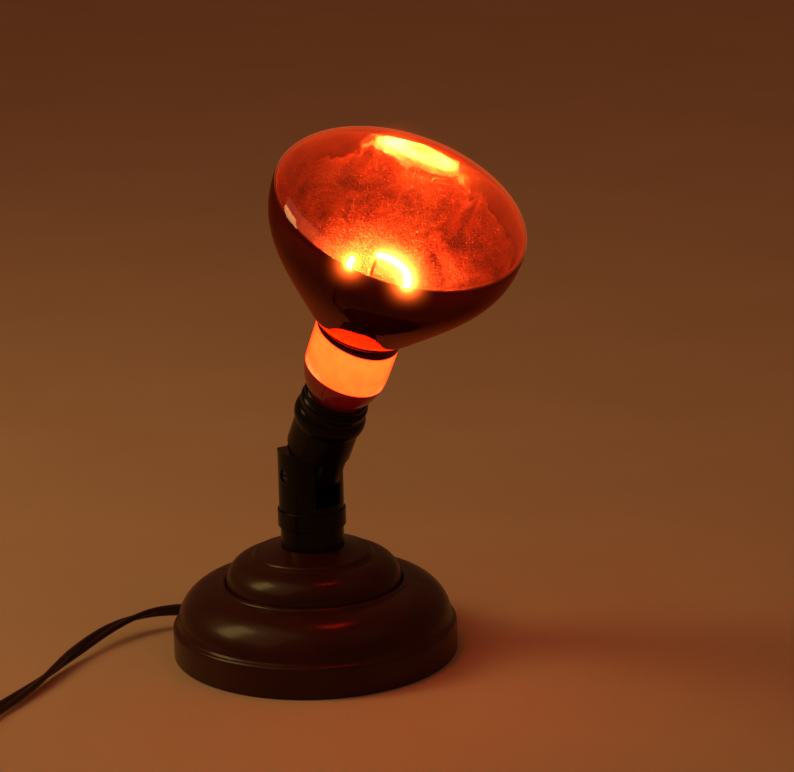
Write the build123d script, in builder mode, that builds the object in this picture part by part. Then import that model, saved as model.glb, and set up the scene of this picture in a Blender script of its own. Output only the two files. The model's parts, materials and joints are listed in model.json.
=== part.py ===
from build123d import *
import os
from math import cos, radians, sin

# Table-top infrared heat lamp: a stepped enamelled base, a moulded fork on a short stem,
# a tilting lamp holder and a large ruby glass reflector bulb.
# Millimetres, +Z up. The origin is the centre of the felt's underside, on the table.
# The lamp holder tilts about X, and at rest it leans towards -Y.

# ---- driving dimensions ----
lean = 29.8                  # the lamp holder's angle from upright at rest, degrees
pivot_height = 98.5          # the tilt axis above the table
fit = 0.05                   # running clearance between pieces that move on each other
play = 0.1                   # clearance between pieces that are assembled and stay

base_radius = 75.0
sheet = 1.2                  # pressed steel of the shell and the bottom plate
skirt_foot = 0.8             # the shell's lower edge
skirt_height = 15.0
lip_radius = 2.4             # rounding at the top of the skirt
shoulder_centre = (51.0, 16.4)
shoulder_radius = 21.6
bead_centre = (48.2, 37.2)   # raised ring at the foot of the inner dome
bead_radius = 2.1
dome_centre = (32.5, 38.9)
dome_radius = 13.7
step_centre = (29.3, 53.1)   # raised ring round the top
step_radius = 2.3
seat_height = 58.2           # flat top that the stem stands on
seat_radius = 17.4

felt_height = 2.0
felt_radius = 71.0
felt_hole = 4.6              # holes in the felt that leave the screws in reach
plate_radius = 73.5
plate_top = felt_height + sheet
ballast_radius = 58.0
ballast_bottom = 10.0
ballast_top = 24.0
hub_radius = 12.0
nut_recess = 13.0            # radius of the recess under the ballast
recess_top = 16.0
boss_circle = 40.0           # radius on which the plate's screws stand
boss_radius = 6.0
boss_angles = (26.0, 146.0, 266.0)

pipe_radius = 4.9
pipe_bore = 3.4
pipe_bottom = 9.0
pipe_top = 80.2

foot_radius = 16.6
foot_top = 69.3
ring_radius = 17.9           # the raised band between foot and fork
ring_top = 79.0
spigot_radius = 15.5         # the fork's lower end, inside the band
yoke_radius = 17.0
slot_floor = 82.5            # floor of the slot between the ears
slot_half = 7.5              # half the slot's width
ear_top = 110.8
ear_corner = 5.0
well_radius = 7.3            # well under the slot, for the nut that holds the fork
well_floor = 75.0

pivot_hole = 2.05
pivot_shank = 2.0
screw_seat = 14.3            # distance from the middle to the pivot screw heads' seat
screw_recess = 3.3
screw_head = 3.0
screw_end = 4.4              # distance from the middle to the pivot screws' inner ends

tongue_half = 7.0            # half the thickness of the holder's flat tongue
tongue_end = 15.5            # radius of the tongue's round end about the tilt axis
tongue_corner = 8.0          # where the tongue reaches its full width
barrel_radius = 17.0
barrel_start = 18.0          # distances along the leaning axis from here on
barrel_end = 34.5
thread_radius = 15.6         # outside of the mouth that carries the beaded collar
mouth_end = 51.2
cavity_radius = 14.7
cavity_floor = 20.2
wire_hole = 3.6
post_circle = 12.0           # the porcelain's screws stand this far from the axis

insert_bottom = 22.7
insert_top = 26.7
thread_start = 29.7
thread_pitch = 3.6
thread_turns = 4.5
shell_inner = 13.12          # the brass shell's smallest radius
shell_outer = 14.0
cap_root = 12.3
cap_crest = 13.0
brass = 0.35                 # sheet brass of shell and cap

rim_station = 171.4          # the bulb's widest circle
rim_radius = 63.5
face_height = 16.0           # how far the face bulges beyond the widest circle
glass = 1.0
neck_end = 47.2
neck_tail = 12.4             # radius of the glass inside the cap
tail_station = 50.3
mirror_low = 105.4           # where the aluminised layer starts and ends
mirror_high = 174.0
mirror = 0.3
shield_station = 70.2
shield_radius = 19.4
press_station = 75.4         # the flat press that holds the lead wires
press_height = 10.0
filament_station = 133.4
filament_circle = 15.0
filament_radius = 1.1
filament_gap = 60.0          # opening of the filament's ring, degrees

cord_angle = 116.0           # where the cord leaves the skirt
cord_height = 10.0
cord_width = 6.4
cord_thickness = 3.2
plug_place = (-222.0, -12.0, 9.0)
plug_heading = 214.0
plug_length = 28.0
blade_spacing = 12.7

# ---- frames of reference ----
pivot = Vector(0, 0, pivot_height)
head_direction = Vector(0, -sin(radians(lean)), cos(radians(lean)))
head_axis = Axis(pivot, head_direction)
# local x is the distance from the leaning axis and local y the distance along it
head_side = Plane(origin=pivot, x_dir=(1, 0, 0), z_dir=Vector(1, 0, 0).cross(head_direction))
# seen along the tilt axis: local x is across the leaning axis, local y along it
head_profile = Plane(origin=pivot, x_dir=head_direction.cross(Vector(1, 0, 0)), z_dir=(1, 0, 0))
# seen as head_side is, with local y counted from the first thread
thread_side = Plane(
    origin=pivot + head_direction * thread_start,
    x_dir=(1, 0, 0),
    z_dir=Vector(1, 0, 0).cross(head_direction),
)
tilt_plane = Plane(origin=pivot, x_dir=(0, 1, 0), z_dir=(1, 0, 0))
cord_direction = Vector(cos(radians(cord_angle)), sin(radians(cord_angle)), 0)
cord_hole = Plane(
    origin=cord_direction * base_radius + Vector(0, 0, cord_height),
    x_dir=Vector(0, 0, 1).cross(cord_direction),
    z_dir=cord_direction,
)
plug_direction = Vector(cos(radians(plug_heading)), sin(radians(plug_heading)), 0)


def head_at(station):
    """The plane square to the leaning axis, at a distance from the tilt axis."""
    return Plane(origin=pivot + head_direction * station, x_dir=(1, 0, 0), z_dir=head_direction)


# ---- shapes that repeat ----
def ring(plane, outer, inner, height):
    """A flat ring that stands on a plane, such as a washer."""
    with BuildPart() as made:
        with BuildSketch(plane):
            Circle(outer)
            Circle(inner, mode=Mode.SUBTRACT)
        extrude(amount=height)
    return made


def hex_nut(plane, across_flats, bore, height):
    """A hexagon nut that stands on a plane, with its bore's ends eased."""
    with BuildPart() as made:
        with BuildSketch(plane):
            RegularPolygon(radius=across_flats / 2, side_count=6, major_radius=False)
            Circle(bore, mode=Mode.SUBTRACT)
        extrude(amount=height)
        chamfer(made.edges().filter_by(GeomType.CIRCLE), length=0.3)
    return made


def slotted_screws(planes, places, head, head_height, shank, length):
    """Slotted screws with their heads' undersides on the planes, at the given places."""
    slot_width = 0.3 * head
    with BuildPart() as made:
        with BuildSketch(*planes):
            with Locations(*places):
                Circle(shank)
        extrude(amount=-length)
        with BuildSketch(*planes):
            with Locations(*places):
                Circle(head)
        extrude(amount=head_height)
        with BuildSketch(*[plane.offset(head_height) for plane in planes]):
            with Locations(*places):
                Rectangle(2.2 * head, slot_width)
        extrude(amount=-0.45 * head_height, mode=Mode.SUBTRACT)
    return made


def wires(plane, paths, radius, bend):
    """Round wires that follow bent paths; each path lists points on the plane."""
    with BuildPart() as made:
        for path in paths:
            with BuildLine(plane) as route:
                FilletPolyline(*path, radius=bend)
            start = Plane(origin=route.line @ 0, z_dir=route.line % 0)
            with BuildSketch(start):
                Circle(radius)
            sweep(path=route.line)
    return made


# ==== base ====
with BuildPart() as base_shell:
    with BuildSketch(Plane.XZ):
        with BuildLine():
            skirt = Line((base_radius, skirt_foot), (base_radius, skirt_height))
            lip = CenterArc((base_radius - lip_radius, skirt_height), lip_radius, 0, 75)
            shoulder = CenterArc(shoulder_centre, shoulder_radius, 5, 82)
            bead = CenterArc(bead_centre, bead_radius, 30, 120)
            dome = CenterArc(dome_centre, dome_radius, 5, 82)
            step = CenterArc(step_centre, step_radius, 15, 80)
            Line(lip @ 1, shoulder @ 0)
            Line(shoulder @ 1, bead @ 0)
            Line(bead @ 1, dome @ 0)
            Line(dome @ 1, step @ 0)
            Polyline(step @ 1, (seat_radius, seat_height), (pipe_radius + 0.3, seat_height))
            offset(amount=sheet, side=Side.LEFT)
        make_face()
    revolve(axis=Axis.Z)
    with BuildSketch(cord_hole):
        Circle(4.1)
    extrude(amount=8, both=True, mode=Mode.SUBTRACT)

with BuildPart() as ballast_weight:
    with BuildSketch(Plane.XZ):
        with BuildLine():
            Polyline(
                (pipe_radius + 0.3, recess_top),
                (nut_recess, recess_top),
                (nut_recess, ballast_bottom),
                (ballast_radius, ballast_bottom),
                (ballast_radius, ballast_top - 5),
                (ballast_radius - 8, ballast_top),
                (hub_radius + 5, ballast_top),
                (hub_radius, ballast_top + 6),
                (hub_radius, seat_height - sheet),
                (pipe_radius + 0.3, seat_height - sheet),
                close=True,
            )
        make_face()
    revolve(axis=Axis.Z)
    with BuildSketch(Plane.XY.offset(plate_top)):
        for angle in boss_angles:
            with PolarLocations(boss_circle, 1, start_angle=angle):
                Circle(boss_radius)
    extrude(amount=ballast_bottom - plate_top + 1)
    with BuildSketch(Plane.XY.offset(plate_top)):
        for angle in boss_angles:
            with PolarLocations(boss_circle, 1, start_angle=angle):
                Circle(pivot_shank)
    extrude(amount=ballast_bottom, mode=Mode.SUBTRACT)

with BuildPart() as bottom_plate:
    with BuildSketch(Plane.XY.offset(felt_height)):
        Circle(plate_radius)
        for angle in boss_angles:
            with PolarLocations(boss_circle, 1, start_angle=angle):
                Circle(2.3, mode=Mode.SUBTRACT)
    extrude(amount=sheet)

screw_places = [
    (boss_circle * cos(radians(angle)), -boss_circle * sin(radians(angle)))
    for angle in boss_angles
]
under_plate = Plane(origin=(0, 0, felt_height), x_dir=(1, 0, 0), z_dir=(0, 0, -1))
plate_screws = slotted_screws([under_plate], screw_places, 3.6, 1.5, 1.95, 10)

with BuildPart() as felt_pad:
    with BuildSketch():
        Circle(felt_radius)
        for angle in boss_angles:
            with PolarLocations(boss_circle, 1, start_angle=angle):
                Circle(felt_hole, mode=Mode.SUBTRACT)
    extrude(amount=felt_height)

lamp_pipe = ring(Plane.XY.offset(pipe_bottom), pipe_radius, pipe_bore, pipe_top - pipe_bottom)
lower_nut = hex_nut(Plane.XY.offset(recess_top - 5.5), 14, pipe_radius + fit, 4.5)
lower_washer = ring(Plane.XY.offset(recess_top - 1), 10, pipe_radius + play, 1)
foot_nut = hex_nut(Plane.XY.offset(foot_top - 4.7), 14, pipe_radius + fit, 4.2)

with BuildPart() as stem_foot:
    with BuildSketch(Plane.XY.offset(seat_height)):
        Circle(foot_radius)
    extrude(amount=foot_top - seat_height)
    chamfer(stem_foot.edges().sort_by(Axis.Z)[0], length=0.5)
    with BuildSketch(Plane.XY.offset(seat_height)):
        Circle(pipe_radius + play)
    extrude(amount=foot_top, mode=Mode.SUBTRACT)
    with BuildSketch(Plane.XY.offset(foot_top - 4.7)):
        Circle(spigot_radius - 6)
    extrude(amount=foot_top, mode=Mode.SUBTRACT)

# friction washers and nut that hold the fork down on the foot
washer_height = 1.0
cone_foot = well_floor + fit + washer_height
cone_rise = 0.5
cone_sheet = 0.4
cone_radius = well_radius - 0.4
pan_washer = ring(
    Plane.XY.offset(well_floor + fit), well_radius - 0.2, pipe_radius + play, washer_height
)
with BuildPart() as pan_spring_washer:
    with BuildSketch(Plane.XZ):
        with BuildLine():
            Polyline(
                (cone_radius, cone_foot),
                (pipe_radius + play, cone_foot + cone_rise),
                (pipe_radius + play, cone_foot + cone_rise + cone_sheet),
                (cone_radius, cone_foot + cone_sheet),
                close=True,
            )
        make_face()
    revolve(axis=Axis.Z)
pan_nut = hex_nut(Plane.XY.offset(cone_foot + cone_rise + cone_sheet), 12, pipe_radius + fit, 3.0)

# ==== cord and plug ====
with BuildPart() as cord_grommet:
    with BuildSketch(cord_hole.offset(-2.6)):
        Circle(4.0)
    extrude(amount=3.8)
    with BuildSketch(cord_hole.offset(-2.6), cord_hole.offset(fit)):
        Circle(4.8)
    extrude(amount=1.15)
    with BuildSketch(cord_hole.offset(-3)):
        SlotOverall(cord_width + 0.4, cord_thickness + 0.4, rotation=90)
    extrude(amount=6, mode=Mode.SUBTRACT)

cord_start = cord_direction * (ballast_radius + 4) + Vector(0, 0, cord_height)
cord_clear = cord_direction * (base_radius + 4) + Vector(0, 0, cord_height)
with BuildPart() as power_cord:
    with BuildLine() as cord_route:
        Line(cord_start, cord_clear)
        Spline(
            cord_clear,
            (-79.0, 78.0, 9.0),
            (-112.8, 62.0, 6.6),
            (-149.3, 37.7, 4.6),
            (-190.0, 13.0, 4.6),
            plug_place,
            tangents=(cord_direction, plug_direction),
        )
    with BuildSketch(Plane(origin=cord_start, x_dir=(0, 0, 1), z_dir=cord_direction)):
        SlotOverall(cord_width, cord_thickness)
    sweep(path=cord_route.line, is_frenet=False)

plug_rear = Plane(
    origin=plug_place, x_dir=Vector(0, 0, 1).cross(plug_direction), z_dir=plug_direction
)
with BuildPart() as plug_body:
    with BuildSketch(plug_rear):
        RectangleRounded(11, 9, 3)
    with BuildSketch(plug_rear.offset(0.55 * plug_length)):
        RectangleRounded(24, 15, 6)
    with BuildSketch(plug_rear.offset(plug_length)):
        RectangleRounded(26, 17, 7)
    loft()

with BuildPart() as plug_blades:
    blade_side = Plane(origin=plug_rear.origin, x_dir=plug_direction, z_dir=plug_rear.x_dir)
    blade_planes = [blade_side.offset(side * blade_spacing / 2) for side in (-1, 1)]
    with BuildSketch(*blade_planes):
        with Locations((plug_length + 8.5, 0)):
            Rectangle(17, 6.3)
        with Locations((plug_length + 12, 0)):
            Circle(1.6, mode=Mode.SUBTRACT)
    extrude(amount=0.75, both=True)
    tips = plug_blades.edges().filter_by(lambda edge: abs(edge.length - 1.5) < 0.01)
    chamfer(tips.group_by(Axis((0, 0, 0), plug_direction))[-1], length=1.2)

# two cores from the cord's end, under the weight and up the pipe
with BuildPart() as supply_leads:
    for side in (-1, 1):
        shift = Vector(0, 0, 1).cross(cord_direction) * (1.5 * side)
        with BuildLine() as core_route:
            FilletPolyline(
                cord_direction * (ballast_radius + 3) + shift + Vector(0, 0, cord_height),
                cord_direction * (ballast_radius - 4) + shift + Vector(0, 0, 6.6),
                shift + Vector(0, 0, 6.6),
                shift + Vector(0, 0, pipe_top - 0.4),
                radius=2,
            )
        with BuildSketch(Plane(origin=core_route.line @ 0, z_dir=core_route.line % 0)):
            Circle(1.0)
        sweep(path=core_route.line)

# ==== fork ====
with BuildPart() as yoke:
    with BuildSketch(Plane.XY.offset(foot_top + fit)):
        Circle(spigot_radius)
    extrude(amount=ring_top - foot_top)
    with BuildSketch(Plane.XY.offset(ring_top)):
        Circle(yoke_radius)
    extrude(amount=ear_top - ring_top)
    with BuildSketch(Plane.XY.offset(slot_floor)):
        Rectangle(2 * slot_half, 3 * yoke_radius)
    extrude(amount=ear_top, mode=Mode.SUBTRACT)
    with BuildSketch(Plane.XY):
        Circle(pipe_radius + fit)
    extrude(amount=ear_top, mode=Mode.SUBTRACT)
    with BuildSketch(Plane.XY.offset(well_floor)):
        Circle(well_radius)
    extrude(amount=slot_floor - well_floor, mode=Mode.SUBTRACT)
    # the ears' upper corners are rounded: what is cut away lies outside two quarter circles
    with BuildSketch(tilt_plane):
        top = ear_top - pivot_height
        half_ear = (yoke_radius**2 - slot_half**2) ** 0.5
        with Locations((0, top)):
            Rectangle(4 * half_ear, 2 * ear_corner)
            Rectangle(2 * (half_ear - ear_corner), 2 * ear_corner, mode=Mode.SUBTRACT)
        for side in (-1, 1):
            with Locations((side * (half_ear - ear_corner), top - ear_corner)):
                Circle(ear_corner, mode=Mode.SUBTRACT)
    extrude(amount=2 * yoke_radius, both=True, mode=Mode.SUBTRACT)
    with BuildSketch(tilt_plane):
        Circle(pivot_hole)
    extrude(amount=2 * yoke_radius, both=True, mode=Mode.SUBTRACT)
    seats = [
        Plane(origin=(side * screw_seat, 0, pivot_height), x_dir=(0, 1, 0), z_dir=(side, 0, 0))
        for side in (-1, 1)
    ]
    with BuildSketch(*seats):
        Circle(screw_recess)
    extrude(amount=yoke_radius, mode=Mode.SUBTRACT)

with BuildPart() as swivel_ring:
    with BuildSketch(Plane.XY.offset(foot_top + play)):
        Circle(ring_radius)
        Circle(spigot_radius + fit, mode=Mode.SUBTRACT)
    extrude(amount=ring_top - foot_top - play)
    rims = swivel_ring.edges().filter_by(GeomType.CIRCLE).group_by(SortBy.RADIUS)[-1]
    fillet(rims, radius=0.7)

pivot_screws = slotted_screws(
    seats, [(0, 0)], screw_head, 1.7, pivot_shank, screw_seat - screw_end
)
with BuildPart() as friction_washers:
    with BuildSketch(tilt_plane.offset(tongue_half + fit), tilt_plane.offset(-slot_half + fit)):
        Circle(6.5)
        Circle(pivot_hole, mode=Mode.SUBTRACT)
    extrude(amount=slot_half - tongue_half - 2 * fit)

# ==== lamp holder ====
with BuildPart() as socket_body:
    # flat-sided tongue with a round end about the tilt axis
    with BuildSketch(head_profile):
        with BuildLine():
            end = CenterArc((0, 0), tongue_end, 180, 180)
            Polyline(
                end @ 1,
                (barrel_radius, tongue_corner),
                (barrel_radius, barrel_start + 1),
                (-barrel_radius, barrel_start + 1),
                (-barrel_radius, tongue_corner),
                end @ 0,
            )
        make_face()
    extrude(amount=tongue_half, both=True)
    with BuildSketch(head_at(-2 * tongue_end)):
        Circle(barrel_radius)
    extrude(amount=2 * tongue_end + barrel_end, mode=Mode.INTERSECT)
    with BuildSketch(head_side):
        with BuildLine():
            Polyline(
                (0, barrel_start),
                (barrel_radius, barrel_start),
                (barrel_radius, barrel_end),
                (thread_radius, barrel_end),
                (thread_radius, mouth_end),
                (0, mouth_end),
                close=True,
            )
        make_face()
    revolve(axis=head_axis)
    with BuildSketch(head_at(cavity_floor)):
        Circle(cavity_radius)
    extrude(amount=mouth_end, mode=Mode.SUBTRACT)
    with BuildSketch(head_at(-2 * tongue_end)):
        Circle(wire_hole)
    extrude(amount=2 * tongue_end + cavity_floor, mode=Mode.SUBTRACT)
    # slot in the tongue's end, where the wires swing as the holder tilts
    with BuildSketch(head_profile):
        with Locations((0, -tongue_end)):
            Rectangle(20, 14)
    extrude(amount=3, both=True, mode=Mode.SUBTRACT)
    with BuildSketch(tilt_plane):
        Circle(pivot_hole)
    extrude(amount=barrel_radius, both=True, mode=Mode.SUBTRACT)
    # posts for the porcelain, with blind holes for its screws
    with BuildSketch(head_at(cavity_floor - 0.5)):
        with Locations((0, post_circle), (0, -post_circle)):
            Circle(2.5)
    extrude(amount=insert_bottom - cavity_floor + 0.5)
    with BuildSketch(head_at(insert_bottom)):
        with Locations((0, post_circle), (0, -post_circle)):
            Circle(0.95)
    extrude(amount=-7, mode=Mode.SUBTRACT)

with BuildPart() as socket_collar:
    with BuildSketch(head_side):
        with BuildLine():
            bore = thread_radius + play
            foot = Line((bore, barrel_end), (barrel_radius, barrel_end))
            wide_bead = ThreePointArc(foot @ 1, (18.7, 40.2), (17.3, 44.6))
            waist = ThreePointArc(wide_bead @ 1, (17.0, 46.0), (17.1, 47.4))
            upper_bead = ThreePointArc(waist @ 1, (17.6, 49.2), (16.6, 51.0))
            groove = ThreePointArc(upper_bead @ 1, (16.3, 51.8), (16.6, 52.6))
            lip_bead = ThreePointArc(groove @ 1, (17.0, 54.2), (16.3, 55.5))
            Polyline(lip_bead @ 1, (bore, 54.0), foot @ 0)
        make_face()
    revolve(axis=head_axis)

with BuildPart() as porcelain_insert:
    with BuildSketch(head_at(insert_bottom)):
        Circle(cavity_radius - 0.4)
    extrude(amount=insert_top - insert_bottom)
    chamfer(porcelain_insert.edges().filter_by(GeomType.CIRCLE), length=0.4)
    with BuildSketch(head_at(insert_top - 2.5)):
        Circle(7.5)
    extrude(amount=5, mode=Mode.SUBTRACT)
    with BuildSketch(head_at(insert_bottom)):
        with Locations((0, post_circle), (0, -post_circle)):
            Circle(1.1)
        with Locations((8, 0), (-8, 0)):
            Circle(1.2)
    extrude(amount=insert_top, mode=Mode.SUBTRACT)


def rolled_thread(middle, depth):
    """Draw a rolled thread's wavy outline about a middle radius, and return its two ends."""
    step = thread_pitch / 2
    ends = [(middle, half * step) for half in range(round(2 * thread_turns) + 1)]
    for half, (here, there) in enumerate(zip(ends, ends[1:])):
        bulge = -depth if half % 2 else depth
        ThreePointArc(here, (middle + bulge, here[1] + step / 2), there)
    return ends[0], ends[-1]


shell_flange = insert_top - thread_start
shell_wall = 13.7            # plain part of the shell between the flange and the thread
with BuildPart() as screw_shell:
    middle = (shell_inner + shell_outer) / 2
    depth = (shell_outer - shell_inner) / 2
    with BuildSketch(thread_side):
        with BuildLine():
            inner_low, inner_high = rolled_thread(middle, depth)
            outer_low, outer_high = rolled_thread(middle + brass, depth)
            Polyline(inner_high, (13.9, 20), (13.9 + brass, 20), outer_high)
            Polyline(
                outer_low,
                (shell_wall + brass, -0.9),
                (shell_wall + brass, shell_flange),
                (9.8, shell_flange),
                (9.8, shell_flange + brass),
                (shell_wall, shell_flange + brass),
                (shell_wall, -0.9),
                inner_low,
            )
        make_face()
    revolve(axis=head_axis)
    with BuildSketch(head_at(insert_top)):
        with Locations((0, post_circle), (0, -post_circle)):
            Circle(1.0)
    extrude(amount=brass, mode=Mode.SUBTRACT)

with BuildPart() as centre_contact:
    with BuildSketch(head_side):
        with BuildLine():
            floor = insert_top - 2.5
            FilletPolyline(
                (5.5, floor + 0.2),
                (-4.5, floor + 0.2),
                (-2.5, floor + 1.25),
                (2.5, floor + 1.25),
                radius=0.4,
            )
        trace(line_width=0.35)
    extrude(amount=2.5, both=True)

post_places = [(0, post_circle), (0, -post_circle)]
insert_screws = slotted_screws([head_at(insert_top + brass)], post_places, 1.2, 0.6, 0.9, 9)
under_insert = Plane(
    origin=pivot + head_direction * insert_bottom, x_dir=(1, 0, 0), z_dir=head_direction * -1
)
terminal_screws = slotted_screws([under_insert], [(8, 0), (-8, 0)], 1.8, 1.4, 1.15, 3.6)
wire_level = insert_bottom - 1.4
socket_leads = wires(
    head_side,
    [
        [(side * 6.1, wire_level), (side * 1.6, wire_level), (side * 1.6, -9.0)]
        for side in (-1, 1)
    ],
    0.9,
    1.5,
)

# ==== bulb ====
def bulb_body(inset, tail_end):
    """The bulb's solid form, moved in from its outer skin by a wall's thickness."""
    edge = rim_radius - inset
    bulge = face_height - inset
    top = rim_station + bulge
    neck = (21.8 - inset, 94.4)
    tail = (neck_tail - inset, tail_station)
    with BuildPart() as made:
        with BuildSketch(head_side):
            with BuildLine():
                Spline(
                    (0, top),
                    (0.63 * edge, rim_station + 0.846 * bulge),
                    (0.945 * edge, rim_station + 0.423 * bulge),
                    (edge, rim_station),
                    tangents=((1, 0), (0, -1)),
                )
                Spline(
                    (edge, rim_station),
                    (61.5 - inset, 156.4),
                    (52.0 - inset, 138.4),
                    (37.0 - inset, 118.4),
                    (24.8 - inset, 103.8),
                    neck,
                    tangents=((0, -1), (0, -1)),
                )
                Spline(
                    neck,
                    (21.7 - inset, 78),
                    (20.9 - inset, 67.5),
                    (18.2 - inset, 59.8),
                    (14.6 - inset, 54.4),
                    tail,
                    tangents=((0, -1), (-0.3, -1)),
                )
                Polyline(tail, (neck_tail - inset, tail_end), (0, tail_end), (0, top))
            make_face()
        revolve(axis=head_axis)
    return made


bulb_outside = bulb_body(0, neck_end)
bulb_inside = bulb_body(glass, neck_end - 1)
with BuildPart() as bulb_glass:
    add(bulb_outside.part)
    add(bulb_inside.part, mode=Mode.SUBTRACT)

mirror_outside = bulb_body(glass + fit, neck_end)
mirror_inside = bulb_body(glass + fit + mirror, neck_end - 1)
with BuildPart() as reflector_coating:
    add(mirror_outside.part)
    add(mirror_inside.part, mode=Mode.SUBTRACT)
    with BuildSketch(head_at(mirror_low)):
        Circle(2 * rim_radius)
    extrude(amount=mirror_high - mirror_low, mode=Mode.INTERSECT)

with BuildPart() as heat_shield:
    with BuildSketch(head_at(shield_station)):
        Circle(shield_radius)
        Circle(5.0, mode=Mode.SUBTRACT)
        with PolarLocations(shield_radius, 3, start_angle=-60):
            Circle(1.8, mode=Mode.SUBTRACT)
    extrude(amount=0.5)

with BuildPart() as glass_mount:
    with BuildSketch(head_side):
        with BuildLine():
            flare = Spline((11.2, 48.3), (5.8, 53.7), (4.6, 60), tangents=((-0.9, 0.4), (0, 1)))
            inside = Spline((10.4, 48.3), (4.9, 53.7), (3.6, 60), tangents=((-0.9, 0.4), (0, 1)))
            Line(flare @ 0, inside @ 0)
            Polyline(
                flare @ 1,
                (4.6, press_station + 3),
                (0, press_station + 3),
                (0, press_station),
                (3.6, press_station - 2),
                inside @ 1,
            )
        make_face()
    revolve(axis=head_axis)
    with BuildSketch(head_at(press_station)):
        RectangleRounded(12, 4, 1.5)
    extrude(amount=press_height)
    with BuildSketch(head_at(press_station + press_height)):
        Circle(1.6)
    extrude(amount=filament_station - 5 - press_station - press_height)
    with BuildSketch(head_at(filament_station - 5)):
        Circle(3)
    extrude(amount=3)
    fillet(glass_mount.faces().filter_by(GeomType.PLANE).sort_by(head_axis)[-1].edges(), radius=0.8)

ring_plane = head_at(filament_station)
gap_side = radians(90 - filament_gap / 2)
gap_x = filament_circle * cos(gap_side)
gap_y = filament_circle * sin(gap_side)
with BuildPart() as filament:
    with BuildLine(ring_plane) as coil_path:
        CenterArc((0, 0), filament_circle, 90 + filament_gap / 2, 360 - filament_gap)
    with BuildSketch(Plane(origin=coil_path.line @ 0, z_dir=coil_path.line % 0)):
        Circle(filament_radius)
    sweep(path=coil_path.line)

with BuildPart() as lead_wires:
    for side in (-1, 1):
        with BuildLine(head_at(0)) as lead_path:
            FilletPolyline(
                (side * 4, 0, press_station + press_height + 0.1),
                (side * 4, 0, press_station + press_height + 10),
                (side * gap_x, gap_y, filament_station - 12),
                (side * gap_x, gap_y, filament_station - filament_radius - 0.1),
                radius=3,
            )
        with BuildSketch(Plane(origin=lead_path.line @ 0, z_dir=lead_path.line % 0)):
            Circle(0.6)
        sweep(path=lead_path.line)

# fine wires from the glass button out to the coil, ending just under it
with BuildPart() as filament_supports:
    for angle in (-90, -25, 205):
        across = cos(radians(angle))
        along = sin(radians(angle))
        tip = filament_station - filament_radius - 0.6
        with BuildLine(head_at(0)) as support_path:
            Line(
                (3.1 * across, 3.1 * along, tip - 1),
                (filament_circle * across, filament_circle * along, tip),
            )
        with BuildSketch(Plane(origin=support_path.line @ 0, z_dir=support_path.line % 0)):
            Circle(0.3)
        sweep(path=support_path.line)

skirt_radius = 13.05         # the plain top of the cap, round the end of the glass
with BuildPart() as bulb_cap:
    middle = (cap_root + cap_crest) / 2
    depth = (cap_crest - cap_root) / 2
    with BuildSketch(thread_side):
        with BuildLine():
            outer_low, outer_high = rolled_thread(middle, depth)
            inner_low, inner_high = rolled_thread(middle - brass, depth)
            Polyline(
                outer_high,
                (skirt_radius, 17.2),
                (skirt_radius, 20.6),
                (skirt_radius - brass, 20.6),
                (skirt_radius - brass, 17.2),
                inner_high,
            )
            Polyline(
                outer_low,
                (12.0, -1.0),
                (10.9, -1.8),
                (10.2, -1.8),
                (10.2, -1.4),
                (10.7, -1.4),
                (11.7, -0.7),
                inner_low,
            )
        make_face()
    revolve(axis=head_axis)

with BuildPart() as cap_insulator:
    with BuildSketch(thread_side):
        with BuildLine():
            Polyline((4.6, -3.3), (6.5, -3.3), (10.1, -1.9), (10.1, 0.5), (4.6, 0.5), close=True)
        make_face()
    revolve(axis=head_axis)

with BuildPart() as cap_contact:
    with BuildSketch(thread_side):
        with BuildLine():
            Polyline((0, -2), (0, -4), (3, -4), (4.5, -3.3), (4.5, -2), close=True)
        make_face()
    revolve(axis=head_axis)

os.makedirs("parts", exist_ok=True)
pieces = dict(
    base_shell=base_shell, ballast_weight=ballast_weight, bottom_plate=bottom_plate,
    plate_screws=plate_screws, felt_pad=felt_pad, lamp_pipe=lamp_pipe, lower_nut=lower_nut,
    lower_washer=lower_washer, foot_nut=foot_nut, stem_foot=stem_foot, pan_washer=pan_washer,
    pan_spring_washer=pan_spring_washer, pan_nut=pan_nut, cord_grommet=cord_grommet,
    power_cord=power_cord, plug_body=plug_body, plug_blades=plug_blades,
    supply_leads=supply_leads, yoke=yoke, swivel_ring=swivel_ring, pivot_screws=pivot_screws,
    friction_washers=friction_washers, socket_body=socket_body, socket_collar=socket_collar,
    porcelain_insert=porcelain_insert, screw_shell=screw_shell, centre_contact=centre_contact,
    insert_screws=insert_screws, terminal_screws=terminal_screws, socket_leads=socket_leads,
    bulb_glass=bulb_glass, reflector_coating=reflector_coating, heat_shield=heat_shield,
    glass_mount=glass_mount, filament=filament, lead_wires=lead_wires,
    filament_supports=filament_supports, bulb_cap=bulb_cap, cap_insulator=cap_insulator,
    cap_contact=cap_contact,
)
for name, piece in pieces.items():
    piece.part.label = name
    export_step(piece.part, f"parts/{name}.step")
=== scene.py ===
import json
import math

import bmesh
import bpy
from mathutils import Matrix, Vector


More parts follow.
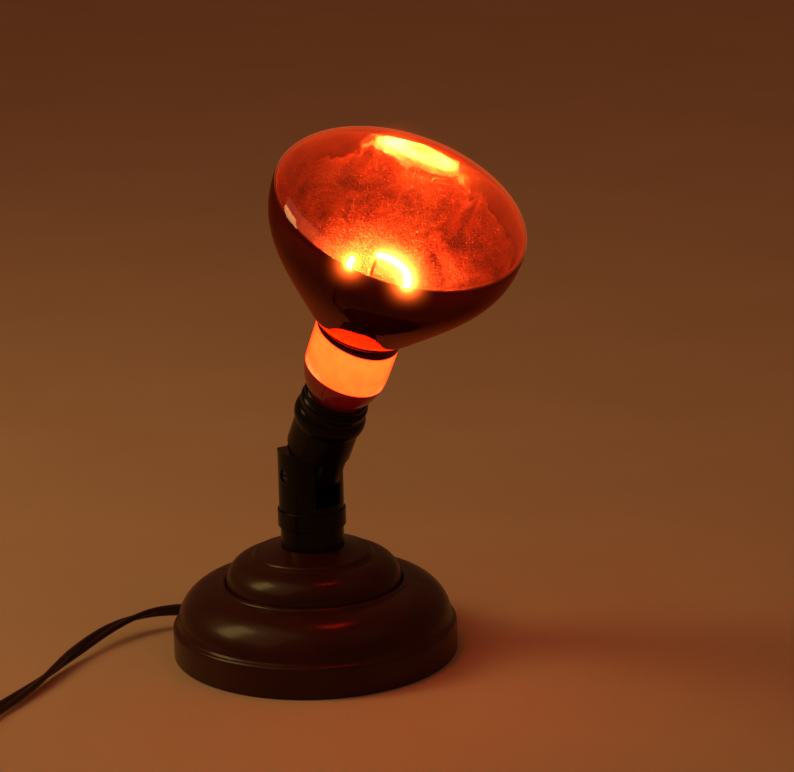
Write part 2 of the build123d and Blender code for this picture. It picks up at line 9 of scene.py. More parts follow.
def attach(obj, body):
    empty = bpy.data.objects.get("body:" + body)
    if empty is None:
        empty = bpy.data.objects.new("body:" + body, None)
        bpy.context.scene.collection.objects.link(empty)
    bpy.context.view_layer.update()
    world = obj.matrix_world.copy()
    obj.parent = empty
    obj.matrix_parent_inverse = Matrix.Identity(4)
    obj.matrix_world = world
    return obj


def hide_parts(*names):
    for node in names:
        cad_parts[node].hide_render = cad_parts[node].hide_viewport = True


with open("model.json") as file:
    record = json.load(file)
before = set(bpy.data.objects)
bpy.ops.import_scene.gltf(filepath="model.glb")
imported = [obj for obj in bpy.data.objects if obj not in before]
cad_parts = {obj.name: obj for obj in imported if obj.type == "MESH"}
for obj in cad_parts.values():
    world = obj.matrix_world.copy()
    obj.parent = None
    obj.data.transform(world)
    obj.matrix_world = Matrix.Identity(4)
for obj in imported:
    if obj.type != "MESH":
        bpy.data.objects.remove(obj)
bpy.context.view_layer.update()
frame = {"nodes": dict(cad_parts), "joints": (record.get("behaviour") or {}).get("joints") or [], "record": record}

# A table-top infrared heat lamp, lit: brown enamelled base, black moulded fork and lamp
# holder, ruby glass reflector bulb. Metres, in the frame of the CAD model.

MM = 0.001

# ---- places, read from the frame ----
joints = {joint["name"]: joint for joint in frame["joints"]}
PIVOT = Vector(joints["head_tilt"]["pos_m"])
HEAD = Vector(joints["bulb_unscrew"]["axis"]).normalized()
SIDE = Vector((1, 0, 0))
ACROSS = HEAD.cross(SIDE)
# places on the bulb, in millimetres along the leaning axis from the tilt axis
FACE_EDGE = 174.0      # the mirrored bowl ends and the clear face begins
COAT_EDGE = 95.0       # the glowing neck ends and the mirrored bowl begins
SHIELD_EDGE = 70.5     # the heat shield, where the glow in the neck begins
FILAMENT = 133.4
COAT_SLANT = 0.11      # how far the coating's edges dip for each millimetre towards +X


def on_head(across_x, across_y, station):
    """A point given in millimetres by its distances across and along the leaning axis."""
    return PIVOT + (SIDE * across_x + ACROSS * across_y + HEAD * station) * MM


# ---- node-tree helpers ----
def new_material(name):
    """An empty node material; returns the material, its node tree and its output node."""
    material = bpy.data.materials.new(name)
    material.use_nodes = True
    tree = material.node_tree
    tree.nodes.clear()
    output = tree.nodes.new("ShaderNodeOutputMaterial")
    return material, tree, output


def add_node(tree, kind, inputs=None, **settings):
    """A node of a kind, with its settings, and inputs given as values or as sockets."""
    node = tree.nodes.new("ShaderNode" + kind)
    for key, value in settings.items():
        setattr(node, key, value)
    for key, value in (inputs or {}).items():
        if isinstance(value, bpy.types.NodeSocket):
            tree.links.new(value, node.inputs[key])
        else:
            node.inputs[key].default_value = value
    return node


def place(tree):
    """The point in the frame's own coordinates, in metres."""
    return add_node(tree, "TexCoord").outputs["Object"]


def noise(tree, scale, detail=4.0, rough=0.55, distort=0.0):
    """Noise from 0 to 1; scale is in cells per metre."""
    made = add_node(
        tree,
        "TexNoise",
        {
            "Vector": place(tree),
            "Scale": scale,
            "Detail": detail,
            "Roughness": rough,
            "Distortion": distort,
        },
    )
    return made.outputs["Fac"]


def ramp(tree, factor, *stops):
    """A colour ramp; each stop is a position and a grey value or a colour."""
    made = add_node(tree, "ValToRGB", {"Fac": factor})
    band = made.color_ramp
    while len(band.elements) < len(stops):
        band.elements.new(0.5)
    for element, (position, colour) in zip(band.elements, stops):
        if isinstance(colour, (int, float)):
            colour = (colour, colour, colour)
        element.position = position
        element.color = (*colour, 1)
    return made.outputs["Color"]


def math_node(tree, operation, first, second=0.0, third=0.0):
    """One arithmetic step."""
    return add_node(tree, "Math", {0: first, 1: second, 2: third}, operation=operation).outputs[0]


def span(tree, value, low, high, to_low=0.0, to_high=1.0, kind="SMOOTHSTEP"):
    """The value mapped from one range to another, eased and clamped."""
    made = add_node(
        tree,
        "MapRange",
        {"Value": value, 1: low, 2: high, 3: to_low, 4: to_high},
        interpolation_type=kind,
    )
    return made.outputs[0]


def bump(tree, height, strength, distance, normal=None):
    """A bump normal from a height."""
    inputs = {"Height": height, "Strength": strength, "Distance": distance}
    if normal is not None:
        inputs["Normal"] = normal
    return add_node(tree, "Bump", inputs).outputs["Normal"]


def mix_colour(tree, factor, first, second, blend="MIX"):
    """Two colours mixed by a factor."""
    made = tree.nodes.new("ShaderNodeMix")
    made.data_type = "RGBA"
    made.blend_type = blend
    for key, value in ((0, factor), (6, first), (7, second)):
        if isinstance(value, bpy.types.NodeSocket):
            tree.links.new(value, made.inputs[key])
        elif key == 0:
            made.inputs[key].default_value = value
        else:
            made.inputs[key].default_value = (*value, 1)
    return made.outputs[2]


def mix_shader(tree, factor, first, second):
    """Two shaders mixed by a factor."""
    return add_node(tree, "MixShader", {0: factor, 1: first, 2: second}).outputs[0]


def principled(tree, output, **inputs):
    """A principled shader linked to the output; underscores stand for spaces in input names."""
    named = {key.replace("_", " "): value for key, value in inputs.items()}
    made = add_node(tree, "BsdfPrincipled", named)
    tree.links.new(made.outputs["BSDF"], output.inputs["Surface"])
    return made


# ---- materials ----
def moulded(name, dark, light, roughness, coat, grain=0.25, cell=160.0, specular=0.5):
    """Polished or satin moulding: faint marbling, uneven gloss and a fine skin."""
    material, tree, output = new_material(name)
    marble = noise(tree, cell, 6.0, 0.6, distort=1.2)
    colour = ramp(tree, marble, (0.35, dark), (0.7, light))
    handling = noise(tree, cell * 0.35, 3.0)
    gloss = span(tree, handling, 0.3, 0.7, roughness * 0.75, roughness * 1.35)
    skin = noise(tree, cell * 9, 3.0)
    principled(
        tree,
        output,
        Base_Color=colour,
        Roughness=gloss,
        Specular_IOR_Level=specular,
        Coat_Weight=coat,
        Coat_Roughness=0.12,
        Normal=bump(tree, skin, grain, 0.00008),
    )
    return material


def enamel():
    """Brown baked enamel: slow colour drift, faint orange peel, dust and a soft gloss."""
    material, tree, output = new_material("brown_enamel")
    drift = noise(tree, 28, 3.0)
    base = ramp(tree, drift, (0.3, (0.030, 0.0042, 0.0013)), (0.72, (0.046, 0.0070, 0.0024)))
    specks = add_node(tree, "TexVoronoi", {"Vector": place(tree), "Scale": 420.0})
    speck = span(tree, specks.outputs["Distance"], 0.04, 0.12, 0.25, 0.0)
    colour = mix_colour(tree, speck, base, (0.14, 0.06, 0.03))
    wear = noise(tree, 75, 5.0)
    gloss = span(tree, wear, 0.3, 0.75, 0.34, 0.46)
    peel = noise(tree, 330, 2.0)
    fine = noise(tree, 2600, 2.0)
    normal = bump(tree, peel, 0.14, 0.0004, bump(tree, fine, 0.10, 0.00005))
    principled(
        tree,
        output,
        Base_Color=colour,
        Roughness=gloss,
        Specular_IOR_Level=0.14,
        Coat_Weight=0.30,
        Coat_Roughness=0.19,
        Normal=normal,
    )
    return material


def metal(name, light, dark, roughness, cell=240.0):
    """Bare or plated metal: stained colour, uneven roughness and a fine grain."""
    material, tree, output = new_material(name)
    pits = 0.15
    stain = noise(tree, cell, 5.0, 0.6)
    colour = ramp(tree, stain, (0.3, dark), (0.65, light))
    grain = noise(tree, cell * 12, 3.0)
    gloss = span(tree, grain, 0.25, 0.75, roughness * 0.7, roughness * 1.4)
    principled(
        tree,
        output,
        Base_Color=colour,
        Metallic=1.0,
        Roughness=gloss,
        Normal=bump(tree, grain, pits, 0.00006),
    )
    return material


def cast_iron():
    """As-cast iron: dark, rough and sandy."""
    material, tree, output = new_material("cast_iron")
    tone = noise(tree, 90, 6.0)
    sand = noise(tree, 900, 5.0, 0.7)
    principled(
        tree,
        output,
        Base_Color=ramp(tree, tone, (0.3, (0.035, 0.03, 0.028)), (0.7, (0.085, 0.075, 0.07))),
        Metallic=0.6,
        Roughness=0.75,
        Normal=bump(tree, sand, 0.7, 0.0006),
    )
    return material


def felt():
    """Dense green wool felt: matted fibres and a soft sheen."""
    material, tree, output = new_material("wool_felt")
    fibres = noise(tree, 1500, 6.0, 0.75, distort=2.5)
    clumps = noise(tree, 200, 4.0)
    shade = mix_colour(
        tree,
        clumps,
        ramp(tree, fibres, (0.3, (0.012, 0.026, 0.012)), (0.7, (0.045, 0.075, 0.038))),
        (0.03, 0.05, 0.028),
    )
    principled(
        tree,
        output,
        Base_Color=shade,
        Roughness=0.95,
        Sheen_Weight=0.5,
        Normal=bump(tree, fibres, 0.8, 0.0004),
    )
    return material


def porcelain():
    """White glazed porcelain with a few iron specks."""
    material, tree, output = new_material("white_porcelain")
    specks = add_node(tree, "TexVoronoi", {"Vector": place(tree), "Scale": 700.0})
    speck = span(tree, specks.outputs["Distance"], 0.05, 0.1, 0.7, 0.0)
    base = ramp(tree, noise(tree, 120), (0.3, (0.70, 0.66, 0.58)), (0.7, (0.82, 0.80, 0.74)))
    principled(
        tree,
        output,
        Base_Color=mix_colour(tree, speck, base, (0.25, 0.18, 0.12)),
        Roughness=span(tree, noise(tree, 300), 0.3, 0.7, 0.12, 0.26),
        Coat_Weight=0.6,
        Normal=bump(tree, noise(tree, 500, 2.0), 0.08, 0.0003),
    )
    return material


def station(tree, slant=0.0):
    """Distance along the leaning axis from the tilt axis, in millimetres.

    A slant makes the rings of equal distance dip towards +X.
    """
    away = add_node(
        tree, "VectorMath", {0: place(tree), 1: tuple(PIVOT)}, operation="SUBTRACT"
    ).outputs[0]
    way = (HEAD + SIDE * slant) / MM
    along = add_node(
        tree, "VectorMath", {0: away, 1: tuple(way)}, operation="DOT_PRODUCT"
    ).outputs["Value"]
    return along


def skin_share(tree):
    """The share of light a glass skin reflects, the same from either side of it."""
    facing = add_node(tree, "LayerWeight", {"Blend": 0.5}).outputs["Facing"]
    return math_node(tree, "MULTIPLY_ADD", math_node(tree, "POWER", facing, 5.0), 0.96, 0.04)


def clear_pane(tree, tint, gloss_roughness, boost, normal=None):
    """A thin pane: light goes straight through and takes a tint, and the skin reflects."""
    through = add_node(tree, "BsdfTransparent", {"Color": tint}).outputs[0]
    shine = {"Color": (1, 1, 1, 1), "Roughness": gloss_roughness}
    if normal is not None:
        shine["Normal"] = normal
    gloss = add_node(tree, "BsdfGlossy", shine).outputs[0]
    share = math_node(tree, "MULTIPLY", skin_share(tree), boost)
    return mix_shader(tree, share, through, gloss)


def ruby_glass():
    """Ruby bulb glass: clear over the face, dark over the mirrored bowl, glowing in the neck."""
    material, tree, output = new_material("ruby_glass")
    along = station(tree)
    slanted = station(tree, COAT_SLANT)
    streak = noise(tree, 35, 3.0)
    tint = ramp(tree, streak, (0.3, (0.86, 0.205, 0.030)), (0.7, (0.94, 0.270, 0.046)))
    ripple = bump(tree, noise(tree, 60, 2.0), 0.05, 0.0006)

    # the face is clear; seen along its surface the glass carries light and glows at its edge
    clear = clear_pane(tree, tint, 0.02, normal=ripple, boost=1.6)
    grazing = add_node(tree, "LayerWeight", {"Blend": 0.5}).outputs["Facing"]
    edge = math_node(tree, "MULTIPLY", math_node(tree, "POWER", grazing, 3.5), 0.62)
    edge_glow = add_node(tree, "Emission", {"Color": (1.0, 0.105, 0.016, 1), "Strength": edge})
    face = add_node(tree, "AddShader", {0: clear, 1: edge_glow.outputs[0]}).outputs[0]

    # over the mirrored layer the glass looks nearly black, with a deep red cast and a faint painted red glow that
    # grows towards the face edge
    bowl_tone = noise(tree, 45, 5.0)
    dark = mix_colour(
        tree, span(tree, bowl_tone, 0.4, 0.7), (0.020, 0.0010, 0.0006), (0.042, 0.0030, 0.0014)
    )
    body = add_node(
        tree,
        "BsdfPrincipled",
        {
            "Base Color": dark,
            "Roughness": 0.4,
            "Specular IOR Level": 0.0,
            # painted glow: red emission on the bowl, stronger over the last 16 mm before the face
            "Emission Color": (1.0, 0.03, 0.008, 1),
            "Emission Strength": span(tree, along, FACE_EDGE - 16, FACE_EDGE, 0.003, 0.03),
        },
    ).outputs[0]
    skin_colour = {"Color": (0.85, 0.30, 0.17, 1), "Roughness": 0.03, "Normal": ripple}
    skin = add_node(tree, "BsdfGlossy", skin_colour).outputs[0]
    bowl = mix_shader(tree, skin_share(tree), body, skin)

    # the neck is lit from inside down to the heat shield
    mottle = noise(tree, 160, 4.0)
    fall = span(tree, along, SHIELD_EDGE, COAT_EDGE, 0.85, 1.1)
    strength = math_node(tree, "MULTIPLY", fall, span(tree, mottle, 0.3, 0.7, 0.9, 1.1))
    seen = add_node(tree, "LightPath").outputs["Is Camera Ray"]
    band = span(tree, slanted, SHIELD_EDGE + 2.0, SHIELD_EDGE + 6.0, 1.0, 0.0)
    patchy = math_node(tree, "MULTIPLY", band, span(tree, noise(tree, 70, 3.0), 0.45, 0.6))
    glass_glow = mix_colour(tree, patchy, (10.0, 0.28, 0.030), (10.0, 0.50, 0.11))
    colour = mix_colour(tree, seen, (18.0, 0.50, 0.04), glass_glow)
    glow = add_node(tree, "Emission", {"Color": colour, "Strength": strength})
    sheen = add_node(tree, "BsdfGlossy", {"Roughness": 0.05}).outputs[0]
    lit_neck = mix_shader(tree, skin_share(tree), glow.outputs[0], sheen)

    # below the shield: dark red glass, a little light leaking down
    leak = add_node(
        tree,
        "BsdfPrincipled",
        {
            "Base Color": (0.05, 0.002, 0.001, 1),
            "Roughness": 0.08,
            "Emission Color": (1.0, 0.016, 0.006, 1),
            "Emission Strength": span(tree, along, 55, SHIELD_EDGE, 0.015, 0.075),
        },
    ).outputs[0]

    in_face = span(tree, along, FACE_EDGE, FACE_EDGE + 0.4, kind="LINEAR")
    in_bowl = span(tree, slanted, COAT_EDGE - 0.4, COAT_EDGE + 0.4, kind="LINEAR")
    in_neck = span(tree, slanted, SHIELD_EDGE - 0.3, SHIELD_EDGE + 0.3, kind="LINEAR")
    low = mix_shader(tree, in_neck, leak, lit_neck)
    middle = mix_shader(tree, in_bowl, low, bowl)
    whole = mix_shader(tree, in_face, middle, face)
    tree.links.new(whole, output.inputs["Surface"])
    return material


def mirror_layer():
    """Aged aluminised layer: smooth near the rim, mottled and speckled further down."""
    material, tree, output = new_material("aged_mirror")
    along = station(tree)
    patches = noise(tree, 38, 6.0, 0.62, distort=0.8)
    speckle = noise(tree, 1250, 6.0, 0.8, distort=0.4)
    cloudy = span(tree, noise(tree, 70, 5.0, 0.7), 0.36, 0.58, 0.35, 1.0)
    grains = add_node(tree, "TexVoronoi", {"Vector": place(tree), "Scale": 850.0}).outputs["Distance"]
    ragged = math_node(tree, "MULTIPLY_ADD", patches, 26.0, along)
    smooth = span(tree, ragged, 170.0, 176.0)
    clouds = ramp(tree, patches, (0.36, (0.13, 0.10, 0.08)), (0.60, (0.62, 0.60, 0.56)))
    fresh = mix_colour(tree, smooth, clouds, (0.93, 0.91, 0.88))
    worn = math_node(tree, "MULTIPLY_ADD", smooth, -0.85, 1.0)
    spots = math_node(tree, "MULTIPLY", span(tree, speckle, 0.48, 0.60, 0.0, 0.95), cloudy)
    dirt = math_node(tree, "MULTIPLY", spots, worn)
    spotted = mix_colour(tree, dirt, fresh, (0.06, 0.035, 0.03))
    flecks = noise(tree, 1500, 3.0, 0.7)
    fleck = math_node(tree, "MULTIPLY", span(tree, flecks, 0.60, 0.68), worn)
    colour = mix_colour(tree, fleck, spotted, (1.0, 1.0, 1.0))
    mottled = span(tree, patches, 0.3, 0.7, 0.50, 0.28)
    rough = math_node(tree, "MULTIPLY", mottled, math_node(tree, "MULTIPLY_ADD", smooth, -0.72, 1.0))
    pitted = math_node(tree, "MULTIPLY", math_node(tree, "ADD", speckle, grains), worn)
    normal = bump(tree, pitted, 0.45, 0.0004)

    # shallow rings left by blowing and coating, which break up sharp reflections
    rings = math_node(tree, "SINE", math_node(tree, "MULTIPLY", ragged, 1.15))
    drawn = bump(tree, math_node(tree, "MULTIPLY_ADD", patches, 2.0, rings), 0.16, 0.0006)
    shine = span(tree, ragged, 160.0, 176.0, 0.12, 1.0)
    principled(
        tree,
        output,
        Base_Color=colour,
        Metallic=0.9,
        Roughness=rough,
        Coat_Weight=shine,
        Coat_Roughness=0.015,
        Coat_IOR=2.6,
        Coat_Normal=drawn,
        Normal=normal,
    )
    return material


def clear_glass():
    """Plain clear glass for the inner mount."""
    material, tree, output = new_material("clear_glass")
    tint = ramp(tree, noise(tree, 150), (0.3, (0.80, 0.84, 0.80)), (0.7, (0.90, 0.92, 0.90)))
    pane = clear_pane(tree, tint, 0.03, boost=1.5)
    tree.links.new(pane, output.inputs["Surface"])
    return material


def hot_wire():
    """Glowing tungsten, slightly uneven.

    Straight sight of it and sharp reflections are brighter and bluer than the light that it
    casts, so that behind ruby glass it still looks white, as a blown-out lamp does.
    """
    material, tree, output = new_material("hot_tungsten")
    flicker = span(tree, noise(tree, 260, 2.0), 0.3, 0.7, 0.85, 1.1)
    strength = math_node(tree, "MULTIPLY", flicker, 200.0)
    cast = (1.0, 0.50, 0.45)
    reflected = (3.4, 3.2, 14.0)
    direct = (16.0, 24.0, 100.0)
    path = add_node(tree, "LightPath")
    mirrored = mix_colour(tree, path.outputs["Is Glossy Ray"], cast, reflected)
    colour = mix_colour(tree, path.outputs["Is Camera Ray"], mirrored, direct)
    glow = add_node(tree, "Emission", {"Color": colour, "Strength": strength}).outputs[0]
    tree.links.new(glow, output.inputs["Surface"])
    return material


def floor_material():
    """Plain pale studio floor."""
    material, tree, output = new_material("pale_floor")
    tone = ramp(tree, noise(tree, 6, 3.0), (0.3, (0.67, 0.45, 0.32)), (0.7, (0.72, 0.49, 0.36)))
    weave = bump(tree, noise(tree, 700), 0.05, 0.0002)
    principled(tree, output, Base_Color=tone, Roughness=0.55, Normal=weave)
    return material


MATERIALS = {
    "enamel": enamel(),
    "iron": cast_iron(),
    "plate_steel": metal("plated_steel", (0.62, 0.62, 0.64), (0.38, 0.37, 0.36), 0.35),
    "fastener_steel": metal("fastener_steel", (0.66, 0.65, 0.63), (0.34, 0.32, 0.30), 0.30),
    "dark_screw": metal("blackened_steel", (0.10, 0.09, 0.085), (0.03, 0.026, 0.024), 0.40),
    "felt": felt(),
    "rubber": moulded(
        "black_rubber",
        dark=(0.010, 0.009, 0.009),
        light=(0.022, 0.020, 0.019),
        roughness=0.6,
        coat=0.0,
        grain=0.5,
    ),
    "cord": moulded(
        "brown_cord",
        dark=(0.016, 0.003, 0.0015),
        light=(0.032, 0.007, 0.0035),
        roughness=0.36,
        coat=0.15,
        grain=0.4,
        cell=120,
    ),
    "core": moulded(
        "core_insulation",
        dark=(0.30, 0.26, 0.18),
        light=(0.42, 0.38, 0.28),
        roughness=0.6,
        coat=0.0,
    ),
    "bakelite": moulded(
        "black_bakelite",
        dark=(0.0024, 0.0009, 0.0008),
        light=(0.0060, 0.0020, 0.0016),
        roughness=0.24,
        coat=0.14,
        grain=0.08,
        specular=0.08,
    ),
    "porcelain": porcelain(),
    "brass": metal("rolled_brass", (0.85, 0.62, 0.28), (0.50, 0.33, 0.12), 0.28),
    "ruby_glass": ruby_glass(),
    "mirror_layer": mirror_layer(),
    "aluminium": metal("bright_aluminium", (0.88, 0.88, 0.88), (0.68, 0.67, 0.66), 0.25),
    "clear_glass": clear_glass(),
    "wire": metal("drawn_wire", (0.70, 0.60, 0.52), (0.40, 0.33, 0.28), 0.32, 600),
    "hot_wire": hot_wire(),
    "cap_metal": metal("cap_sheet", (0.82, 0.78, 0.70), (0.52, 0.47, 0.38), 0.32),
    "black_glass": moulded(
        "black_glass",
        dark=(0.004, 0.004, 0.006),
        light=(0.010, 0.010, 0.014),
        roughness=0.08,
        coat=0.6,
        grain=0.05,
    ),
    "solder": metal("solder", (0.70, 0.70, 0.72), (0.46, 0.46, 0.48), 0.38, 500),
}

for entry in frame["record"]["subparts"]:
    node = frame["nodes"][entry["node"]]
    node.data.materials.clear()
    node.data.materials.append(MATERIALS[entry["material_slot"]])


# ---- pieces made here ----
def finish_piece(name, mesh, body, slot, *replaced):
    """A smooth object from a bmesh; it rides on a body in place of the solids it stands for."""
    data = bpy.data.meshes.new(name)
    bmesh.ops.recalc_face_normals(mesh, faces=mesh.faces)
    mesh.to_mesh(data)
    mesh.free()
    data.polygons.foreach_set("use_smooth", [True] * len(data.polygons))
    data.materials.append(MATERIALS[slot])
    piece = bpy.data.objects.new(name, data)
    bpy.context.scene.collection.objects.link(piece)
    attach(piece, body)
    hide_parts(*replaced)
    return piece


def tube(mesh, rings):
    """Faces through closed rings of points, with both ends filled."""
    loops = [[mesh.verts.new(point) for point in ring] for ring in rings]
    for low, high in zip(loops, loops[1:]):
        count = len(low)
        for i in range(count):
            j = (i + 1) % count
            mesh.faces.new((low[i], low[j], high[j], high[i]))
    mesh.faces.new(list(reversed(loops[0])))
    mesh.faces.new(loops[-1])


def smooth_route(points, first_way, last_way, steps):
    """Points along a smooth curve through the given ones, with a set way in and way out."""
    ways = [(points[i + 1] - points[i - 1]) / 2 for i in range(1, len(points) - 1)]
    ways = [first_way * (points[1] - points[0]).length] + ways
    ways = ways + [last_way * (points[-1] - points[-2]).length]
    route = []
    for i in range(len(points) - 1):
        for k in range(steps):
            t = k / steps
            route.append(
                points[i] * (2 * t**3 - 3 * t**2 + 1)
                + ways[i] * (t**3 - 2 * t**2 + t)
                + points[i + 1] * (3 * t**2 - 2 * t**3)
                + ways[i + 1] * (t**3 - t**2)
            )
    route.append(points[-1])
    return route


def twin_cord():
    """Flat twin flex that turns over on its way from the skirt to the plug, in millimetres."""
    lobe = 1.6                           # radius of each of the two cores
    joined = math.radians(38)            # half of the angle of each lobe lost in the web
    clearance = 0.15                     # least height of its underside above the table
    exit_angle = math.radians(116)       # where it leaves the round skirt
    exit_height = Vector((0, 0, 10))
    plug_angle = math.radians(214)       # the way the plug points
    plug_rear = Vector((-222.0, -12.0, 9.0))
    into_plug = 3
    out = Vector((math.cos(exit_angle), math.sin(exit_angle), 0))
    plug_way = Vector((math.cos(plug_angle), math.sin(plug_angle), 0))
    points = [
        out * 69 + exit_height,
        out * 79 + exit_height,
        Vector((-54.0, 80.0, 9.8)),
        Vector((-79.0, 78.0, 8.0)),
        Vector((-112.8, 62.0, 5.2)),
        Vector((-149.3, 37.7, 3.6)),
        Vector((-190.0, 13.0, 4.2)),
        plug_rear,
        plug_rear + plug_way * into_plug,
    ]
    route = smooth_route(points, out, plug_way, 14)
    length = [0.0]
    for before, after in zip(route, route[1:]):
        length.append(length[-1] + (after - before).length)
    # how far the wide side has turned from upright, in degrees, at distances along the cord
    turns = [(0.0, 0.0), (16.0, 0.0), (52.0, 90.0), (95.0, 170.0), (140.0, 262.0), (190.0, 345.0)]
    turns.append((length[-1], 360.0))
    section = []
    corners = 15
    for side in (1, -1):
        for k in range(corners):
            angle = (k / (corners - 1) - 0.5) * 2 * (math.pi - joined)
            section.append((side * (lobe + lobe * math.cos(angle)), side * lobe * math.sin(angle)))
    rings = []
    for i, point in enumerate(route):
        ahead = route[min(i + 1, len(route) - 1)] - route[max(i - 1, 0)]
        ahead.normalize()
        level = Vector((0, 0, 1)).cross(ahead).normalized()
        upright = ahead.cross(level)
        for (start, low), (end, high) in zip(turns, turns[1:]):
            if start <= length[i] <= end:
                part = (length[i] - start) / (end - start)
                turn = math.radians(low + (high - low) * part)
        wide = upright * math.cos(turn) + level * math.sin(turn)
        thin = ahead.cross(wide)
        lift = abs(wide.z) * lobe + lobe + clearance - point.z
        centre = point + Vector((0, 0, max(0.0, lift)))
        rings.append([(centre + wide * u + thin * v) * MM for u, v in section])
    mesh = bmesh.new()
    tube(mesh, rings)
    finish_piece("flat_twin_cord", mesh, "base", "cord", "power_cord")


def coiled_filament():
    """Tungsten wire wound in a fine coil, the coil bent to an open ring, in millimetres."""
    ring = 15.0                  # radius of the open ring
    coil = 0.85                  # radius of the coil
    wire = 0.24                  # radius of the wire
    gap = math.radians(60)       # opening of the ring
    windings = 62
    per_turn = 10
    sides = 5
    count = windings * per_turn
    nudge = 0.0002               # part of the whole length, to find the wire's direction

    def on_coil(t):
        around = math.pi / 2 + gap / 2 + t * (2 * math.pi - gap)
        turn = t * windings * 2 * math.pi
        radius = ring + coil * math.cos(turn)
        return on_head(
            radius * math.cos(around), radius * math.sin(around), FILAMENT + coil * math.sin(turn)
        )

    rings = []
    for i in range(count + 1):
        here = on_coil(i / count)
        ahead = (on_coil(i / count + nudge) - on_coil(i / count - nudge)).normalized()
        level = HEAD.cross(ahead).normalized()
        upright = ahead.cross(level)
        rings.append(
            [
                here + (level * math.cos(a) + upright * math.sin(a)) * (wire * MM)
                for a in (2 * math.pi * k / sides for k in range(sides))
            ]
        )
    mesh = bmesh.new()
    tube(mesh, rings)
    finish_piece("coiled_filament", mesh, "bulb", "hot_wire", "filament")


def screw_cap():
    """The bulb's cap with a real helical thread, a thin turned-in foot and a plain skirt."""
    start = 29.7                 # the thread's first turn, along the leaning axis, millimetres
    pitch = 3.6
    top = 16.2                   # the thread's length
    middle = 12.65               # mean radius of the thread
    depth = 0.34                 # half of the thread's height
    sheet = 0.35                 # thickness of the metal
    around = 96
    foot = [(10.3, -1.75), (10.9, -1.75), (11.7, -1.2), (12.2, -0.5)]
    skirt = [(13.0, 17.2), (13.03, 18.4), (13.03, 20.5)]
    levels = [0.3 * k for k in range(1, 54)]

    def outline(angle):
        """The closed section of the sheet at an angle round the axis."""
        outer = list(foot)
        for level in levels:
            fade = min(1.0, level / pitch, (top - level) / (pitch / 2))
            wave = math.cos(2 * math.pi * level / pitch - angle)
            outer.append((middle + depth * wave * max(0.0, fade), level))
        outer = outer + skirt
        inner = [(radius - sheet, level + 0.02) for radius, level in reversed(outer)]
        return outer + inner

    mesh = bmesh.new()
    loops = []
    for k in range(around):
        angle = 2 * math.pi * k / around
        loops.append(
            [
                mesh.verts.new(on_head(r * math.cos(angle), r * math.sin(angle), start + level))
                for r, level in outline(angle)
            ]
        )
    for k in range(around):
        here = loops[k]
        following = loops[(k + 1) % around]
        for i in range(len(here)):
            j = (i + 1) % len(here)
            mesh.faces.new((here[i], here[j], following[j], following[i]))
    finish_piece("threaded_cap", mesh, "bulb", "cap_metal", "bulb_cap")


twin_cord()
coiled_filament()
screw_cap()


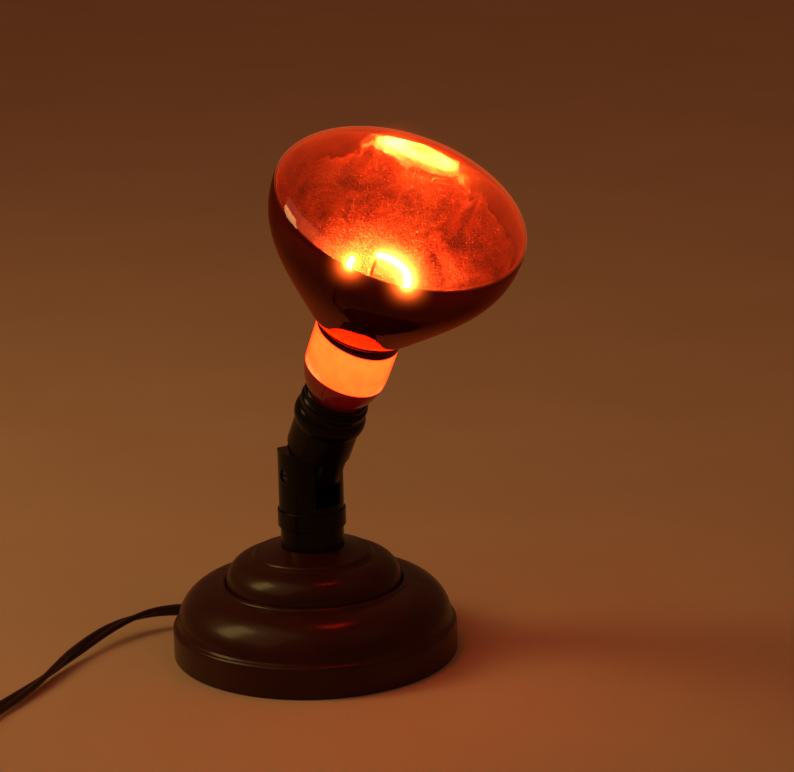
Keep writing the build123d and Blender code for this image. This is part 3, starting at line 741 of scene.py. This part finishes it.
# ---- stage, lights and camera ----
def studio():
    """A plain pale floor, three soft lights in a dim warm room, and the camera."""
    floor_size = 12.0
    bpy.ops.mesh.primitive_plane_add(size=floor_size)
    floor = bpy.context.object
    floor.name = "studio_floor"
    floor.data.materials.append(floor_material())

    azimuth = math.radians(-35.5)
    elevation = math.radians(14.76)
    roll = math.radians(-1.33)
    distance = 1.344
    target = Vector((0.0375, -0.0268, 0.1428))     # the point at the middle of the picture
    back = Vector(
        (
            math.sin(azimuth) * math.cos(elevation),
            -math.cos(azimuth) * math.cos(elevation),
            math.sin(elevation),
        )
    )
    camera_data = bpy.data.cameras.new("camera")
    camera_data.sensor_width = 36.0
    camera_data.lens = 117.9
    camera = bpy.data.objects.new("camera", camera_data)
    bpy.context.scene.collection.objects.link(camera)
    turn = back.to_track_quat("Z", "Y").to_matrix().to_4x4() @ Matrix.Rotation(roll, 4, "Z")
    camera.matrix_world = Matrix.Translation(target + back * distance) @ turn
    bpy.context.scene.camera = camera

    def softbox(name, azimuth_deg, elevation_deg, reach, size, power, colour):
        """A soft light aimed at the lamp; its angles are counted as the camera's are."""
        a = math.radians(azimuth_deg)
        e = math.radians(elevation_deg)
        way = Vector((math.sin(a) * math.cos(e), -math.cos(a) * math.cos(e), math.sin(e)))
        data = bpy.data.lights.new(name, "AREA")
        data.shape = "RECTANGLE"
        data.size = size[0]
        data.size_y = size[1]
        data.energy = power
        data.color = colour
        light = bpy.data.objects.new(name, data)
        bpy.context.scene.collection.objects.link(light)
        facing = way.to_track_quat("Z", "Y").to_matrix().to_4x4()
        light.matrix_world = Matrix.Translation(target + way * reach) @ facing

    softbox("key_light", -122, 35, 1.3, (0.4, 0.7), 3.8, (1.0, 0.68, 0.22))
    softbox("wall_light", -100, 48, 1.9, (1.6, 1.6), 3.6, (1.0, 0.57, 0.27))
    softbox("fill_light", 25, 50, 2.2, (1.6, 1.6), 0.8, (1.0, 0.40, 0.18))

    world = bpy.data.worlds.new("studio")
    world.use_nodes = True
    surroundings = world.node_tree.nodes["Background"]
    surroundings.inputs["Color"].default_value = (0.90, 0.32, 0.13, 1)
    surroundings.inputs["Strength"].default_value = 0.135
    bpy.context.scene.world = world
    bpy.context.scene.view_settings.view_transform = "Standard"
    bpy.context.scene.cycles.transparent_max_bounces = 24


def bloom():
    """The soft spill of light round what is too bright for the picture, as a lens gives it."""
    scene = bpy.context.scene
    scene.use_nodes = True
    tree = scene.node_tree
    tree.nodes.clear()
    layers = tree.nodes.new("CompositorNodeRLayers")
    glare = tree.nodes.new("CompositorNodeGlare")
    glare.glare_type = "FOG_GLOW"
    glare.quality = "HIGH"
    glare.inputs["Threshold"].default_value = 14.0
    glare.inputs["Clamp"].default_value = True
    glare.inputs["Maximum"].default_value = 4000.0
    glare.inputs["Strength"].default_value = 1.0
    glare.inputs["Size"].default_value = 0.08
    picture = tree.nodes.new("CompositorNodeComposite")
    tree.links.new(layers.outputs["Image"], glare.inputs["Image"])
    tree.links.new(glare.outputs["Image"], picture.inputs["Image"])


studio()
bloom()
